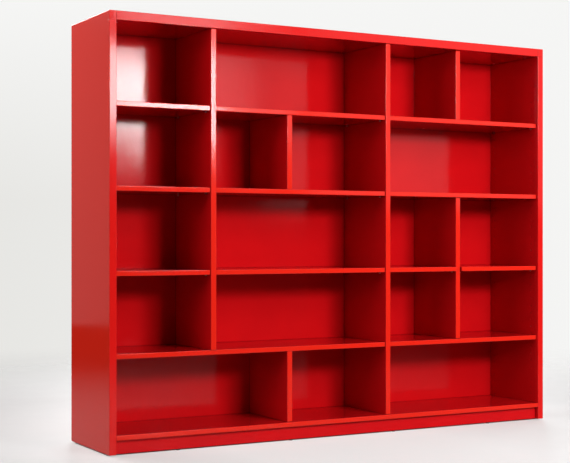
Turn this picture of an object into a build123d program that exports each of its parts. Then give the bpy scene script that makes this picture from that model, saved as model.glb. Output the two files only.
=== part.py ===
# Wide open shelving cabinet in lacquered board, as an assembly of separate pieces.
#
# Millimetres. The origin is on the floor, midway across the width and the depth.
# +X runs to the right, the open front faces -Y, and +Z is up.

from build123d import *
from collections import namedtuple
import os

os.makedirs("parts", exist_ok=True)

# --------------------------------------------------------------------------
# Driving dimensions
# --------------------------------------------------------------------------

WIDTH = 2170.0
DEPTH = 430.0
HEIGHT = 1740.0

SIDE_THICKNESS = 30.0
TOP_THICKNESS = 36.0
DIVIDER_THICKNESS = 24.0
SHELF_THICKNESS = 20.0
BACK_THICKNESS = 8.0
PLINTH_THICKNESS = 18.0
RAIL_THICKNESS = 20.0

FRAME_DEPTH = 20.0
BACK_INSET = 355.0
PLINTH_RECESS = 20.0
TALL_DIVIDER_RECESS = 8.0
SHELF_RECESS = 13.0
DEEP_DIVIDER_RECESS = 25.0

FLOOR_GAP = 5.0
BOTTOM_TOP = 80.0
SHELF_TOPS = (1389.5, 1057.0, 722.5, 397.0)

LEFT_BAY = 412.5
MIDDLE_BAY = 825.0
MIDDLE_COMPARTMENT = 333.5
RIGHT_COMPARTMENT = 367.0

EDGE_RADIUS = 1.5
SEAM_CHAMFER = 0.5

SHELF_END_GAP = 1.0
SHELF_BACK_GAP = 1.0
SHELF_PIN_GAP = 0.3
DIVIDER_TOP_GAP = 0.5

# Line boring for the shelf pins
HOLE_PITCH = 32.0
HOLE_RADIUS = 2.5
HOLE_DEPTH = 10.5
HOLE_COLUMN_SETBACKS = (50.0, 324.0)
PIN_STEM_RADIUS = 2.45
PIN_STEM_LENGTH = 10.0
PIN_HEAD_RADIUS = 3.0
PIN_HEAD_LENGTH = 8.0
PIN_CHAMFER = 0.5

# Wooden dowels
DOWEL_RADIUS = 4.0
DOWEL_LENGTH = 24.0
DOWEL_BORE_RADIUS = 4.05
DOWEL_BORE_LENGTH = 24.6
DOWEL_CHAMFER = 0.8

# Cam locks and their bolts
CAM_RADIUS = 7.5
CAM_HEIGHT = 14.0
CAM_BORE_RADIUS = 7.55
CAM_BORE_DEPTH = 14.2
CAM_SETBACK = 24.0
CAM_NOTCH = 7.4
CAM_CROSS_LENGTH = 8.0
CAM_CROSS_WIDTH = 1.4
CAM_CROSS_DEPTH = 2.0
BOLT_AXIS_RISE = 10.0
BOLT_THREAD_RADIUS = 2.95
BOLT_THREAD_LENGTH = 10.4
BOLT_THREAD_BORE_RADIUS = 3.0
BOLT_THREAD_BORE_DEPTH = 10.8
BOLT_SHANK_RADIUS = 2.8
BOLT_HEAD_RADIUS = 3.5
BOLT_HEAD_LENGTH = 3.0
BOLT_REACH = 23.0
BOLT_BORE_RADIUS = 4.0

# Screws up through a shelf into the foot of a divider
SCREW_SHANK_RADIUS = 2.0
SCREW_LENGTH = 45.0
SCREW_HEAD_RADIUS = 4.0
SCREW_HEAD_HEIGHT = 2.5
SCREW_BORE_RADIUS = 2.05
SCREW_BORE_LENGTH = 45.5
SCREW_COUNTERBORE_RADIUS = 4.1
SCREW_COUNTERBORE_DEPTH = 2.7
SCREW_SLOT_WIDTH = 1.0

# Screws through the back panel
BACK_SCREW_SHANK_RADIUS = 1.75
BACK_SCREW_LENGTH = 30.0
BACK_SCREW_HEAD_RADIUS = 4.0
BACK_SCREW_HEAD_HEIGHT = 2.4
BACK_SCREW_BORE_RADIUS = 1.8
BACK_SCREW_BORE_LENGTH = 30.4

# Floor glides pressed into the bottom edges
GLIDE_RADIUS = 8.5
GLIDE_CHAMFER = 1.5
GLIDE_STEM_RADIUS = 3.0
GLIDE_STEM_LENGTH = 12.0
GLIDE_BORE_RADIUS = 3.05
GLIDE_BORE_DEPTH = 12.5

# Groove that holds the back panel
GROOVE_DEPTH = 7.0
GROOVE_WIDTH = 8.4
BACK_TONGUE = 6.0

REAR_RAIL_HEIGHT = 80.0
MIDDLE_RAIL_BOTTOM = 850.0
BEARER_LIFT = 10.0

# --------------------------------------------------------------------------
# Positions worked out from the driving dimensions
# --------------------------------------------------------------------------

LEFT = -WIDTH / 2
RIGHT = WIDTH / 2
FRONT = -DEPTH / 2
REAR = DEPTH / 2

INNER_LEFT = LEFT + SIDE_THICKNESS
INNER_RIGHT = RIGHT - SIDE_THICKNESS
FRAME_REAR = FRONT + FRAME_DEPTH
BACK_FRONT = FRONT + BACK_INSET
BACK_REAR = BACK_FRONT + BACK_THICKNESS

TOP_UNDERSIDE = HEIGHT - TOP_THICKNESS
BOTTOM_UNDERSIDE = BOTTOM_TOP - SHELF_THICKNESS
ROW_1, ROW_2, ROW_3, ROW_4 = SHELF_TOPS
UNDER_1, UNDER_2, UNDER_3, UNDER_4 = (top - SHELF_THICKNESS for top in SHELF_TOPS)

TALL_LEFT = (INNER_LEFT + LEFT_BAY, INNER_LEFT + LEFT_BAY + DIVIDER_THICKNESS)
TALL_RIGHT = (TALL_LEFT[1] + MIDDLE_BAY, TALL_LEFT[1] + MIDDLE_BAY + DIVIDER_THICKNESS)
MIDDLE_SPLIT = (
    TALL_LEFT[1] + MIDDLE_COMPARTMENT,
    TALL_LEFT[1] + MIDDLE_COMPARTMENT + DIVIDER_THICKNESS,
)
RIGHT_SPLIT = (
    TALL_RIGHT[1] + RIGHT_COMPARTMENT,
    TALL_RIGHT[1] + RIGHT_COMPARTMENT + DIVIDER_THICKNESS,
)

TALL_FRONT = FRONT + TALL_DIVIDER_RECESS
SHELF_FRONT = FRONT + SHELF_RECESS
DEEP_FRONT = FRONT + DEEP_DIVIDER_RECESS
LOOSE_BACK = BACK_FRONT - SHELF_BACK_GAP

PLINTH_FRONT = FRONT + PLINTH_RECESS
REAR_PLINTH_REAR = REAR - PLINTH_RECESS
RAIL_FRONT = REAR - RAIL_THICKNESS

PIN_DROP = PIN_HEAD_RADIUS + SHELF_PIN_GAP
HOLE_COLUMNS = tuple(FRONT + setback for setback in HOLE_COLUMN_SETBACKS)

# Joint positions along the depth, in the frame's own Y
CAM_COLUMNS = (-150.0, 85.0)
DOWEL_COLUMNS = (-120.0, 55.0)
OFFSET_DOWEL_COLUMNS = (-95.0, 30.0)
DIVIDER_DOWEL_COLUMNS = (-140.0, -20.0, 100.0)
DIVIDER_SCREW_COLUMNS = (-130.0, -20.0, 90.0)
SHORT_DIVIDER_COLUMNS = (-120.0, 80.0)

BEARER_CENTRES = (-700.0, 0.0, 700.0)
PLINTH_DOWEL_CENTRES = (-900.0, -450.0, 60.0, 450.0, 900.0)
GLIDE_CENTRES_ALONG_PLINTH = (-780.0, -260.0, 260.0, 780.0)
GLIDE_CENTRES_ALONG_SIDE = (-165.0, 185.0)
BACK_SCREWS_TALL_LEFT = (470.0, 780.0, 1110.0, 1440.0, 1660.0)
BACK_SCREWS_TALL_RIGHT = (150.0, 470.0, 780.0, 1110.0, 1440.0, 1660.0)
BACK_SCREWS_LONG_SHELF = (-850.0, -450.0, -50.0)
BACK_SCREWS_RIGHT_SHELVES = (430.0, 850.0)

# --------------------------------------------------------------------------
# Bores: every board loses the bores that reach into it
# --------------------------------------------------------------------------

Bore = namedtuple("Bore", "x y z axis radius length")

TURN = {"X": (0, 90, 0), "Y": (90, 0, 0), "Z": (0, 0, 0)}


def reaches(bore, low, high):
    """Whether a bore's own box overlaps the box between two corners."""
    for axis, centre, start, end in zip("XYZ", bore[:3], low, high):
        half = bore.length / 2 if axis == bore.axis else bore.radius
        if centre + half <= start or centre - half >= end:
            return False
    return True


def cut_bores(bores, low, high):
    """Cut the bores that reach a board out of the part being built, kind by kind."""
    near = [bore for bore in bores if reaches(bore, low, high)]
    for kind in sorted({bore[3:] for bore in near}):
        axis, radius, length = kind
        with Locations(*[bore[:3] for bore in near if bore[3:] == kind]):
            Cylinder(radius, length, rotation=TURN[axis], mode=Mode.SUBTRACT)


def dowel_places():
    """Centre and axis of every dowel; each one crosses the plane between two boards."""
    places = []
    for x in (INNER_LEFT, INNER_RIGHT):
        for y in DOWEL_COLUMNS:
            places.append((x, y, TOP_UNDERSIDE + BOLT_AXIS_RISE, "X"))
            places.append((x, y, BOTTOM_UNDERSIDE + BOLT_AXIS_RISE, "X"))
        for rail_bottom in (TOP_UNDERSIDE - REAR_RAIL_HEIGHT, MIDDLE_RAIL_BOTTOM):
            for share in (0.25, 0.75):
                z = rail_bottom + share * REAR_RAIL_HEIGHT
                places.append((x, REAR - RAIL_THICKNESS / 2, z, "X"))
    for x in (INNER_LEFT, TALL_RIGHT[0]):
        for y in DOWEL_COLUMNS:
            places.append((x, y, UNDER_4 + BOLT_AXIS_RISE, "X"))
    for x in (TALL_RIGHT[1], INNER_RIGHT):
        for y in OFFSET_DOWEL_COLUMNS:
            places.append((x, y, UNDER_2 + BOLT_AXIS_RISE, "X"))
            places.append((x, y, UNDER_4 + BOLT_AXIS_RISE, "X"))
    for span in (TALL_LEFT, TALL_RIGHT):
        for y in DIVIDER_DOWEL_COLUMNS:
            places.append((sum(span) / 2, y, TOP_UNDERSIDE, "Z"))
    for y in SHORT_DIVIDER_COLUMNS:
        places.append((sum(MIDDLE_SPLIT) / 2, y, UNDER_4, "Z"))
        places.append((sum(RIGHT_SPLIT) / 2, y, UNDER_2, "Z"))
    for x in PLINTH_DOWEL_CENTRES:
        places.append((x, PLINTH_FRONT + PLINTH_THICKNESS / 2, BOTTOM_UNDERSIDE, "Z"))
        places.append((x, REAR_PLINTH_REAR - PLINTH_THICKNESS / 2, BOTTOM_UNDERSIDE, "Z"))
    bearer_height = (FLOOR_GAP + BEARER_LIFT + BOTTOM_UNDERSIDE) / 2
    for x in BEARER_CENTRES:
        places.append((x, PLINTH_FRONT + PLINTH_THICKNESS, bearer_height, "Y"))
        places.append((x, REAR_PLINTH_REAR - PLINTH_THICKNESS, bearer_height, "Y"))
    return places


def cam_places():
    """End plane, direction into the shelf, depth position and underside of every cam lock."""
    joints = [
        (INNER_LEFT, 1, TOP_UNDERSIDE),
        (INNER_RIGHT, -1, TOP_UNDERSIDE),
        (INNER_LEFT, 1, BOTTOM_UNDERSIDE),
        (INNER_RIGHT, -1, BOTTOM_UNDERSIDE),
        (INNER_LEFT, 1, UNDER_4),
        (TALL_RIGHT[0], -1, UNDER_4),
        (TALL_RIGHT[1], 1, UNDER_2),
        (INNER_RIGHT, -1, UNDER_2),
        (TALL_RIGHT[1], 1, UNDER_4),
        (INNER_RIGHT, -1, UNDER_4),
    ]
    return [(x, way, y, under) for x, way, under in joints for y in CAM_COLUMNS]


def screws_under(span, underside, columns):
    """Places of the screws that come up from an underside into a divider's foot."""
    return [(sum(span) / 2, y, underside) for y in columns]


FIXED_DIVIDER_SCREWS = (
    screws_under(TALL_LEFT, UNDER_4, DIVIDER_SCREW_COLUMNS)
    + screws_under(TALL_RIGHT, BOTTOM_UNDERSIDE, DIVIDER_SCREW_COLUMNS)
    + screws_under(MIDDLE_SPLIT, BOTTOM_UNDERSIDE, SHORT_DIVIDER_COLUMNS)
    + screws_under(RIGHT_SPLIT, UNDER_4, SHORT_DIVIDER_COLUMNS)
)
MIDDLE_ROW_SCREWS = screws_under(MIDDLE_SPLIT, UNDER_2, SHORT_DIVIDER_COLUMNS)
RIGHT_TOP_SCREWS = screws_under(RIGHT_SPLIT, UNDER_1, SHORT_DIVIDER_COLUMNS)


def back_screw_places():
    """X and Z of the screws through the back panel into dividers and fixed shelves."""
    places = [(sum(TALL_LEFT) / 2, z) for z in BACK_SCREWS_TALL_LEFT]
    places += [(sum(TALL_RIGHT) / 2, z) for z in BACK_SCREWS_TALL_RIGHT]
    places += [(x, UNDER_4 + BOLT_AXIS_RISE) for x in BACK_SCREWS_LONG_SHELF]
    for under in (UNDER_2, UNDER_4):
        places += [(x, under + BOLT_AXIS_RISE) for x in BACK_SCREWS_RIGHT_SHELVES]
    return places


def glide_places():
    """X, Y of every floor glide: under both sides and both plinth boards."""
    side_centres = (LEFT + SIDE_THICKNESS / 2, RIGHT - SIDE_THICKNESS / 2)
    plinth_centres = (
        PLINTH_FRONT + PLINTH_THICKNESS / 2,
        REAR_PLINTH_REAR - PLINTH_THICKNESS / 2,
    )
    places = [(x, y) for x in side_centres for y in GLIDE_CENTRES_ALONG_SIDE]
    places += [(x, y) for x in GLIDE_CENTRES_ALONG_PLINTH for y in plinth_centres]
    return places


# Shelf pins: the face they stand out of, the way they point, and the shelf's underside
LEFT_BAY_PINS = [
    (x, way, under)
    for under in (UNDER_1, UNDER_2, UNDER_3)
    for x, way in ((INNER_LEFT, 1), (TALL_LEFT[0], -1))
]
MIDDLE_BAY_PINS = [
    (x, way, under)
    for under in (UNDER_1, UNDER_2, UNDER_3)
    for x, way in ((TALL_LEFT[1], 1), (TALL_RIGHT[0], -1))
]
RIGHT_BAY_PINS = [
    (TALL_RIGHT[1], 1, UNDER_1),
    (INNER_RIGHT, -1, UNDER_1),
    (TALL_RIGHT[1], 1, UNDER_3),
    (RIGHT_SPLIT[0], -1, UNDER_3),
    (RIGHT_SPLIT[1], 1, UNDER_3),
    (INNER_RIGHT, -1, UNDER_3),
]


def spare_hole_heights():
    """Heights of the free holes above and below each shelf of the right bay."""
    groups = [
        (TOP_UNDERSIDE, 0, 5),
        (UNDER_1, 4, 4),
        (UNDER_2, 5, 4),
        (UNDER_3, 5, 4),
        (UNDER_4, 5, 4),
        (BOTTOM_UNDERSIDE, 4, 0),
    ]
    heights = []
    for under, above, below in groups:
        datum = under - PIN_DROP
        heights += [datum + HOLE_PITCH * step for step in range(1, above + 1)]
        heights += [datum - HOLE_PITCH * step for step in range(1, below + 1)]
    return heights


def all_bores():
    """Every bore of the cabinet, worked out from the fittings that sit in them."""
    bores = []
    for x, y, z, axis in dowel_places():
        bores.append(Bore(x, y, z, axis, DOWEL_BORE_RADIUS, DOWEL_BORE_LENGTH))
    for x, way, y, under in cam_places():
        z = under + BOLT_AXIS_RISE
        thread_centre = x - way * BOLT_THREAD_BORE_DEPTH / 2
        bores.append(Bore(thread_centre, y, z, "X", BOLT_THREAD_BORE_RADIUS, BOLT_THREAD_BORE_DEPTH))
        bores.append(Bore(x + way * CAM_SETBACK / 2, y, z, "X", BOLT_BORE_RADIUS, CAM_SETBACK))
        cam_x = x + way * CAM_SETBACK
        bores.append(Bore(cam_x, y, under + CAM_BORE_DEPTH / 2, "Z", CAM_BORE_RADIUS, CAM_BORE_DEPTH))
    for x, y, under in FIXED_DIVIDER_SCREWS + MIDDLE_ROW_SCREWS + RIGHT_TOP_SCREWS:
        shank_centre = under + SCREW_BORE_LENGTH / 2
        head_centre = under + SCREW_COUNTERBORE_DEPTH / 2
        bores.append(Bore(x, y, shank_centre, "Z", SCREW_BORE_RADIUS, SCREW_BORE_LENGTH))
        bores.append(Bore(x, y, head_centre, "Z", SCREW_COUNTERBORE_RADIUS, SCREW_COUNTERBORE_DEPTH))
    for x, z in back_screw_places():
        y = BACK_REAR - BACK_SCREW_BORE_LENGTH / 2
        bores.append(Bore(x, y, z, "Y", BACK_SCREW_BORE_RADIUS, BACK_SCREW_BORE_LENGTH))
    for x, y in glide_places():
        z = FLOOR_GAP + GLIDE_BORE_DEPTH / 2
        bores.append(Bore(x, y, z, "Z", GLIDE_BORE_RADIUS, GLIDE_BORE_DEPTH))
    pin_holes = [(x, way, under - PIN_DROP) for x, way, under in LEFT_BAY_PINS]
    pin_holes += [(x, way, under - PIN_DROP) for x, way, under in MIDDLE_BAY_PINS]
    pin_holes += [(x, way, under - PIN_DROP) for x, way, under in RIGHT_BAY_PINS]
    for z in spare_hole_heights():
        pin_holes.append((TALL_RIGHT[1], 1, z))
        pin_holes.append((INNER_RIGHT, -1, z))
    for x, way, z in pin_holes:
        for y in HOLE_COLUMNS:
            bores.append(Bore(x - way * HOLE_DEPTH / 2, y, z, "X", HOLE_RADIUS, HOLE_DEPTH))
    return bores


BORES = all_bores()

# --------------------------------------------------------------------------
# Boards
# --------------------------------------------------------------------------


def board(low, high, radius=EDGE_RADIUS):
    """A board between two corners, its front edges eased and its bores drilled."""
    with BuildPart() as piece:
        with BuildSketch(Plane.XY.offset(low[2])):
            with Locations(((low[0] + high[0]) / 2, (low[1] + high[1]) / 2)):
                Rectangle(high[0] - low[0], high[1] - low[1])
        extrude(amount=high[2] - low[2])
        if radius:
            fillet(piece.faces().sort_by(Axis.Y)[0].edges(), radius=radius)
        cut_bores(BORES, low, high)
    return piece


def save(piece, label):
    """Label a finished piece and write its STEP file."""
    piece.part.label = label
    export_step(piece.part, f"parts/{label}.step")


def side_panel(label, outer, inner):
    """A side: square board with a stopped groove for the back panel in its inner face."""
    low = (min(outer, inner), FRAME_REAR, FLOOR_GAP)
    high = (max(outer, inner), REAR, HEIGHT)
    inward = 1 if inner > outer else -1
    groove_centre = BACK_FRONT + GROOVE_WIDTH / 2
    with BuildPart() as panel:
        add(board(low, high, radius=0).part)
        top_edges = panel.edges().filter_by(Axis.Y).group_by(Axis.Z)[-1]
        outer_edge = top_edges.sort_by(Axis.X)[0 if inward > 0 else -1]
        fillet(outer_edge, radius=EDGE_RADIUS)
        with BuildSketch(Plane.XY.offset(BOTTOM_TOP - GROOVE_DEPTH)):
            with Locations((inner - inward * GROOVE_DEPTH / 2, groove_centre)):
                Rectangle(GROOVE_DEPTH, GROOVE_WIDTH)
        extrude(amount=TOP_UNDERSIDE - BOTTOM_TOP + 2 * GROOVE_DEPTH, mode=Mode.SUBTRACT)
    save(panel, label)


def front_stile(label, outer, inner):
    """The upright strip along a side's front edge, eased all round its front face."""
    low = (min(outer, inner), FRONT, FLOOR_GAP)
    high = (max(outer, inner), FRAME_REAR, TOP_UNDERSIDE)
    with BuildPart() as stile:
        add(board(low, high).part)
        rear_edges = stile.faces().sort_by(Axis.Y)[-1].edges().filter_by(Axis.Z)
        seam_edge = rear_edges.sort_by(Axis.X)[-1 if inner > outer else 0]
        chamfer(seam_edge, length=SEAM_CHAMFER)
    save(stile, label)


def corner_block(label, outer, inner):
    """The square block where a stile meets the top rail, eased along its outer top edge too."""
    low = (min(outer, inner), FRONT, TOP_UNDERSIDE)
    high = (max(outer, inner), FRAME_REAR, HEIGHT)
    with BuildPart() as block:
        add(board(low, high, radius=0).part)
        front_edges = block.faces().sort_by(Axis.Y)[0].edges()
        top_edges = block.faces().sort_by(Axis.Z)[-1].edges().filter_by(Axis.Y)
        outer_edge = top_edges.sort_by(Axis.X)[0 if inner > outer else -1]
        fillet(front_edges + [outer_edge], radius=EDGE_RADIUS)
    save(block, label)


def grooved_panel(label, low, high, radius, groove_floor):
    """A top or bottom panel with a groove for the back panel, from groove_floor to its face."""
    face = TOP_UNDERSIDE if groove_floor > TOP_UNDERSIDE else BOTTOM_TOP
    with BuildPart() as panel:
        add(board(low, high, radius).part)
        with BuildSketch(Plane.XY.offset(min(face, groove_floor))):
            with Locations((0, BACK_FRONT + GROOVE_WIDTH / 2)):
                Rectangle(INNER_RIGHT - INNER_LEFT, GROOVE_WIDTH)
        extrude(amount=GROOVE_DEPTH, mode=Mode.SUBTRACT)
    save(panel, label)


for name, outer_face, inner_face in (
    ("left", LEFT, INNER_LEFT),
    ("right", RIGHT, INNER_RIGHT),
):
    side_panel(f"{name}_side_panel", outer_face, inner_face)
    front_stile(f"{name}_front_stile", outer_face, inner_face)
    corner_block(f"{name}_corner_block", outer_face, inner_face)

grooved_panel(
    "top_panel",
    (INNER_LEFT, FRAME_REAR, TOP_UNDERSIDE),
    (INNER_RIGHT, REAR, HEIGHT),
    0,
    TOP_UNDERSIDE + GROOVE_DEPTH,
)
grooved_panel(
    "bottom_panel",
    (INNER_LEFT, FRONT, BOTTOM_UNDERSIDE),
    (INNER_RIGHT, REAR, BOTTOM_TOP),
    EDGE_RADIUS,
    BOTTOM_TOP - GROOVE_DEPTH,
)

# Boards that need nothing but eased front edges and bores, each between two corners
EASED_BOARDS = {
    "top_front_rail": (
        (INNER_LEFT, FRONT, TOP_UNDERSIDE),
        (INNER_RIGHT, FRAME_REAR, HEIGHT),
    ),
    "front_plinth": (
        (INNER_LEFT, PLINTH_FRONT, FLOOR_GAP),
        (INNER_RIGHT, PLINTH_FRONT + PLINTH_THICKNESS, BOTTOM_UNDERSIDE),
    ),
    "tall_divider_left": (
        (TALL_LEFT[0], TALL_FRONT, ROW_4),
        (TALL_LEFT[1], BACK_FRONT, TOP_UNDERSIDE),
    ),
    "tall_divider_right": (
        (TALL_RIGHT[0], TALL_FRONT, BOTTOM_TOP),
        (TALL_RIGHT[1], BACK_FRONT, TOP_UNDERSIDE),
    ),
    "bottom_row_divider": (
        (MIDDLE_SPLIT[0], SHELF_FRONT, BOTTOM_TOP),
        (MIDDLE_SPLIT[1], BACK_FRONT, UNDER_4),
    ),
    "middle_row_divider": (
        (MIDDLE_SPLIT[0], SHELF_FRONT, ROW_2),
        (MIDDLE_SPLIT[1], LOOSE_BACK, UNDER_1 - DIVIDER_TOP_GAP),
    ),
    "right_top_divider": (
        (RIGHT_SPLIT[0], DEEP_FRONT, ROW_1),
        (RIGHT_SPLIT[1], LOOSE_BACK, TOP_UNDERSIDE - DIVIDER_TOP_GAP),
    ),
    "right_tall_divider": (
        (RIGHT_SPLIT[0], DEEP_FRONT, ROW_4),
        (RIGHT_SPLIT[1], BACK_FRONT, UNDER_2),
    ),
}
for name, corners in EASED_BOARDS.items():
    save(board(*corners), name)

# Boards with plain square edges, hidden behind the others
PLAIN_BOARDS = {
    "back_panel": (
        (INNER_LEFT - BACK_TONGUE, BACK_FRONT, BOTTOM_TOP - BACK_TONGUE),
        (INNER_RIGHT + BACK_TONGUE, BACK_REAR, TOP_UNDERSIDE + BACK_TONGUE),
    ),
    "rear_plinth": (
        (INNER_LEFT, REAR_PLINTH_REAR - PLINTH_THICKNESS, FLOOR_GAP),
        (INNER_RIGHT, REAR_PLINTH_REAR, BOTTOM_UNDERSIDE),
    ),
    "top_rear_rail": (
        (INNER_LEFT, RAIL_FRONT, TOP_UNDERSIDE - REAR_RAIL_HEIGHT),
        (INNER_RIGHT, REAR, TOP_UNDERSIDE),
    ),
    "middle_rear_rail": (
        (INNER_LEFT, RAIL_FRONT, MIDDLE_RAIL_BOTTOM),
        (INNER_RIGHT, REAR, MIDDLE_RAIL_BOTTOM + REAR_RAIL_HEIGHT),
    ),
}
for name, corners in PLAIN_BOARDS.items():
    save(board(*corners, radius=0), name)


def shelf(label, x_span, top, end_gap, back):
    """A shelf between two upright faces, its front edges eased."""
    low = (x_span[0] + end_gap, SHELF_FRONT, top - SHELF_THICKNESS)
    high = (x_span[1] - end_gap, back, top)
    save(board(low, high), label)


LEFT_SPAN = (INNER_LEFT, TALL_LEFT[0])
MIDDLE_SPAN = (TALL_LEFT[1], TALL_RIGHT[0])
RIGHT_SPAN = (TALL_RIGHT[1], INNER_RIGHT)

for number, row_top in enumerate((ROW_1, ROW_2, ROW_3), start=1):
    shelf(f"left_bay_shelf_{number}", LEFT_SPAN, row_top, SHELF_END_GAP, LOOSE_BACK)
    shelf(f"middle_bay_shelf_{number}", MIDDLE_SPAN, row_top, SHELF_END_GAP, LOOSE_BACK)

shelf("right_bay_shelf_1", RIGHT_SPAN, ROW_1, SHELF_END_GAP, LOOSE_BACK)
shelf("right_bay_shelf_2", RIGHT_SPAN, ROW_2, 0, BACK_FRONT)
shelf(
    "right_bay_shelf_3_left",
    (TALL_RIGHT[1], RIGHT_SPLIT[0]),
    ROW_3,
    SHELF_END_GAP,
    LOOSE_BACK,
)
shelf(
    "right_bay_shelf_3_right",
    (RIGHT_SPLIT[1], INNER_RIGHT),
    ROW_3,
    SHELF_END_GAP,
    LOOSE_BACK,
)
shelf("right_bay_shelf_4", RIGHT_SPAN, ROW_4, 0, BACK_FRONT)
shelf("long_shelf", (INNER_LEFT, TALL_RIGHT[0]), ROW_4, 0, BACK_FRONT)

with BuildPart() as plinth_bearers:
    with BuildSketch(Plane.XY.offset(FLOOR_GAP + BEARER_LIFT)):
        with Locations(*[(x, 0) for x in BEARER_CENTRES]):
            Rectangle(PLINTH_THICKNESS, 2 * (REAR_PLINTH_REAR - PLINTH_THICKNESS))
    extrude(amount=BOTTOM_UNDERSIDE - FLOOR_GAP - BEARER_LIFT)
    cut_bores(
        BORES,
        (INNER_LEFT, PLINTH_FRONT + PLINTH_THICKNESS, FLOOR_GAP + BEARER_LIFT),
        (INNER_RIGHT, REAR_PLINTH_REAR - PLINTH_THICKNESS, BOTTOM_UNDERSIDE),
    )
save(plinth_bearers, "plinth_bearers")

# --------------------------------------------------------------------------
# Fittings: each group of like fittings is one part of separate solids
# --------------------------------------------------------------------------


def turned(outline):
    """A turned fitting about its local Z, from the corners of half its section."""
    with BuildPart() as fitting:
        with BuildSketch(Plane.XZ):
            with BuildLine():
                Polyline(*outline, close=True)
            make_face()
        revolve(axis=Axis.Z)
    return fitting.part


def placed(fitting, label, planes):
    """Copies of one fitting, each standing on its own plane, saved as one part."""
    with BuildPart() as group:
        with Locations(*planes):
            add(fitting)
    save(group, label)


def facing(x, y, z, way):
    """A plane whose normal points along +X or -X."""
    return Plane(origin=(x, y, z), x_dir=(0, 1, 0), z_dir=(way, 0, 0))


shelf_pin = turned(
    (
        (0, -PIN_STEM_LENGTH),
        (PIN_STEM_RADIUS, -PIN_STEM_LENGTH),
        (PIN_STEM_RADIUS, 0),
        (PIN_HEAD_RADIUS, 0),
        (PIN_HEAD_RADIUS, PIN_HEAD_LENGTH - PIN_CHAMFER),
        (PIN_HEAD_RADIUS - PIN_CHAMFER, PIN_HEAD_LENGTH),
        (0, PIN_HEAD_LENGTH),
    )
)
for name, pins in (
    ("left_bay_shelf_pins", LEFT_BAY_PINS),
    ("middle_bay_shelf_pins", MIDDLE_BAY_PINS),
    ("right_bay_shelf_pins", RIGHT_BAY_PINS),
):
    placed(
        shelf_pin,
        name,
        [facing(x, y, under - PIN_DROP, way) for x, way, under in pins for y in HOLE_COLUMNS],
    )

wood_dowel = turned(
    (
        (0, -DOWEL_LENGTH / 2),
        (DOWEL_RADIUS - DOWEL_CHAMFER, -DOWEL_LENGTH / 2),
        (DOWEL_RADIUS, -DOWEL_LENGTH / 2 + DOWEL_CHAMFER),
        (DOWEL_RADIUS, DOWEL_LENGTH / 2 - DOWEL_CHAMFER),
        (DOWEL_RADIUS - DOWEL_CHAMFER, DOWEL_LENGTH / 2),
        (0, DOWEL_LENGTH / 2),
    )
)
DIRECTIONS = {"X": (1, 0, 0), "Y": (0, 1, 0), "Z": (0, 0, 1)}
placed(
    wood_dowel,
    "joint_dowels",
    [Plane(origin=(x, y, z), z_dir=DIRECTIONS[axis]) for x, y, z, axis in dowel_places()],
)

cam_bolt = turned(
    (
        (0, -BOLT_THREAD_LENGTH),
        (BOLT_THREAD_RADIUS, -BOLT_THREAD_LENGTH),
        (BOLT_THREAD_RADIUS, 0),
        (BOLT_SHANK_RADIUS, 0),
        (BOLT_SHANK_RADIUS, BOLT_REACH - BOLT_HEAD_LENGTH),
        (BOLT_HEAD_RADIUS, BOLT_REACH - BOLT_HEAD_LENGTH),
        (BOLT_HEAD_RADIUS, BOLT_REACH),
        (0, BOLT_REACH),
    )
)
placed(
    cam_bolt,
    "cam_bolts",
    [facing(x, y, under + BOLT_AXIS_RISE, way) for x, way, y, under in cam_places()],
)

# The cam's own frame: its axis is local Z, its visible slotted face is at local Z = 0,
# and the bolt enters along local -X.
with BuildPart() as cam_lock:
    with BuildSketch(Plane.XY):
        Circle(CAM_RADIUS)
    extrude(amount=CAM_HEIGHT)
    with BuildSketch(Plane.XY.offset(BOLT_AXIS_RISE - CAM_NOTCH / 2)):
        with Locations((-CAM_RADIUS / 2, 0)):
            Rectangle(CAM_RADIUS, CAM_NOTCH)
    extrude(amount=CAM_NOTCH, mode=Mode.SUBTRACT)
    with BuildSketch(Plane.XY):
        Rectangle(CAM_CROSS_LENGTH, CAM_CROSS_WIDTH)
        Rectangle(CAM_CROSS_WIDTH, CAM_CROSS_LENGTH)
    extrude(amount=CAM_CROSS_DEPTH, mode=Mode.SUBTRACT)
placed(
    cam_lock.part,
    "cam_locks",
    [
        Plane(origin=(x + way * CAM_SETBACK, y, under), x_dir=(way, 0, 0), z_dir=(0, 0, 1))
        for x, way, y, under in cam_places()
    ],
)

with BuildPart() as divider_screw:
    add(
        turned(
            (
                (0, 0),
                (SCREW_HEAD_RADIUS, 0),
                (SCREW_HEAD_RADIUS, SCREW_HEAD_HEIGHT),
                (SCREW_SHANK_RADIUS, SCREW_HEAD_HEIGHT),
                (SCREW_SHANK_RADIUS, SCREW_LENGTH - SCREW_SHANK_RADIUS),
                (0, SCREW_LENGTH),
            )
        )
    )
    with BuildSketch(Plane.XY):
        Rectangle(SCREW_HEAD_RADIUS, SCREW_SLOT_WIDTH)
        Rectangle(SCREW_SLOT_WIDTH, SCREW_HEAD_RADIUS)
    extrude(amount=SCREW_SLOT_WIDTH, mode=Mode.SUBTRACT)
for name, screws in (
    ("divider_screws", FIXED_DIVIDER_SCREWS),
    ("middle_row_divider_screws", MIDDLE_ROW_SCREWS),
    ("right_top_divider_screws", RIGHT_TOP_SCREWS),
):
    placed(
        divider_screw.part,
        name,
        [Plane(origin=(x, y, under), z_dir=(0, 0, 1)) for x, y, under in screws],
    )

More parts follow.
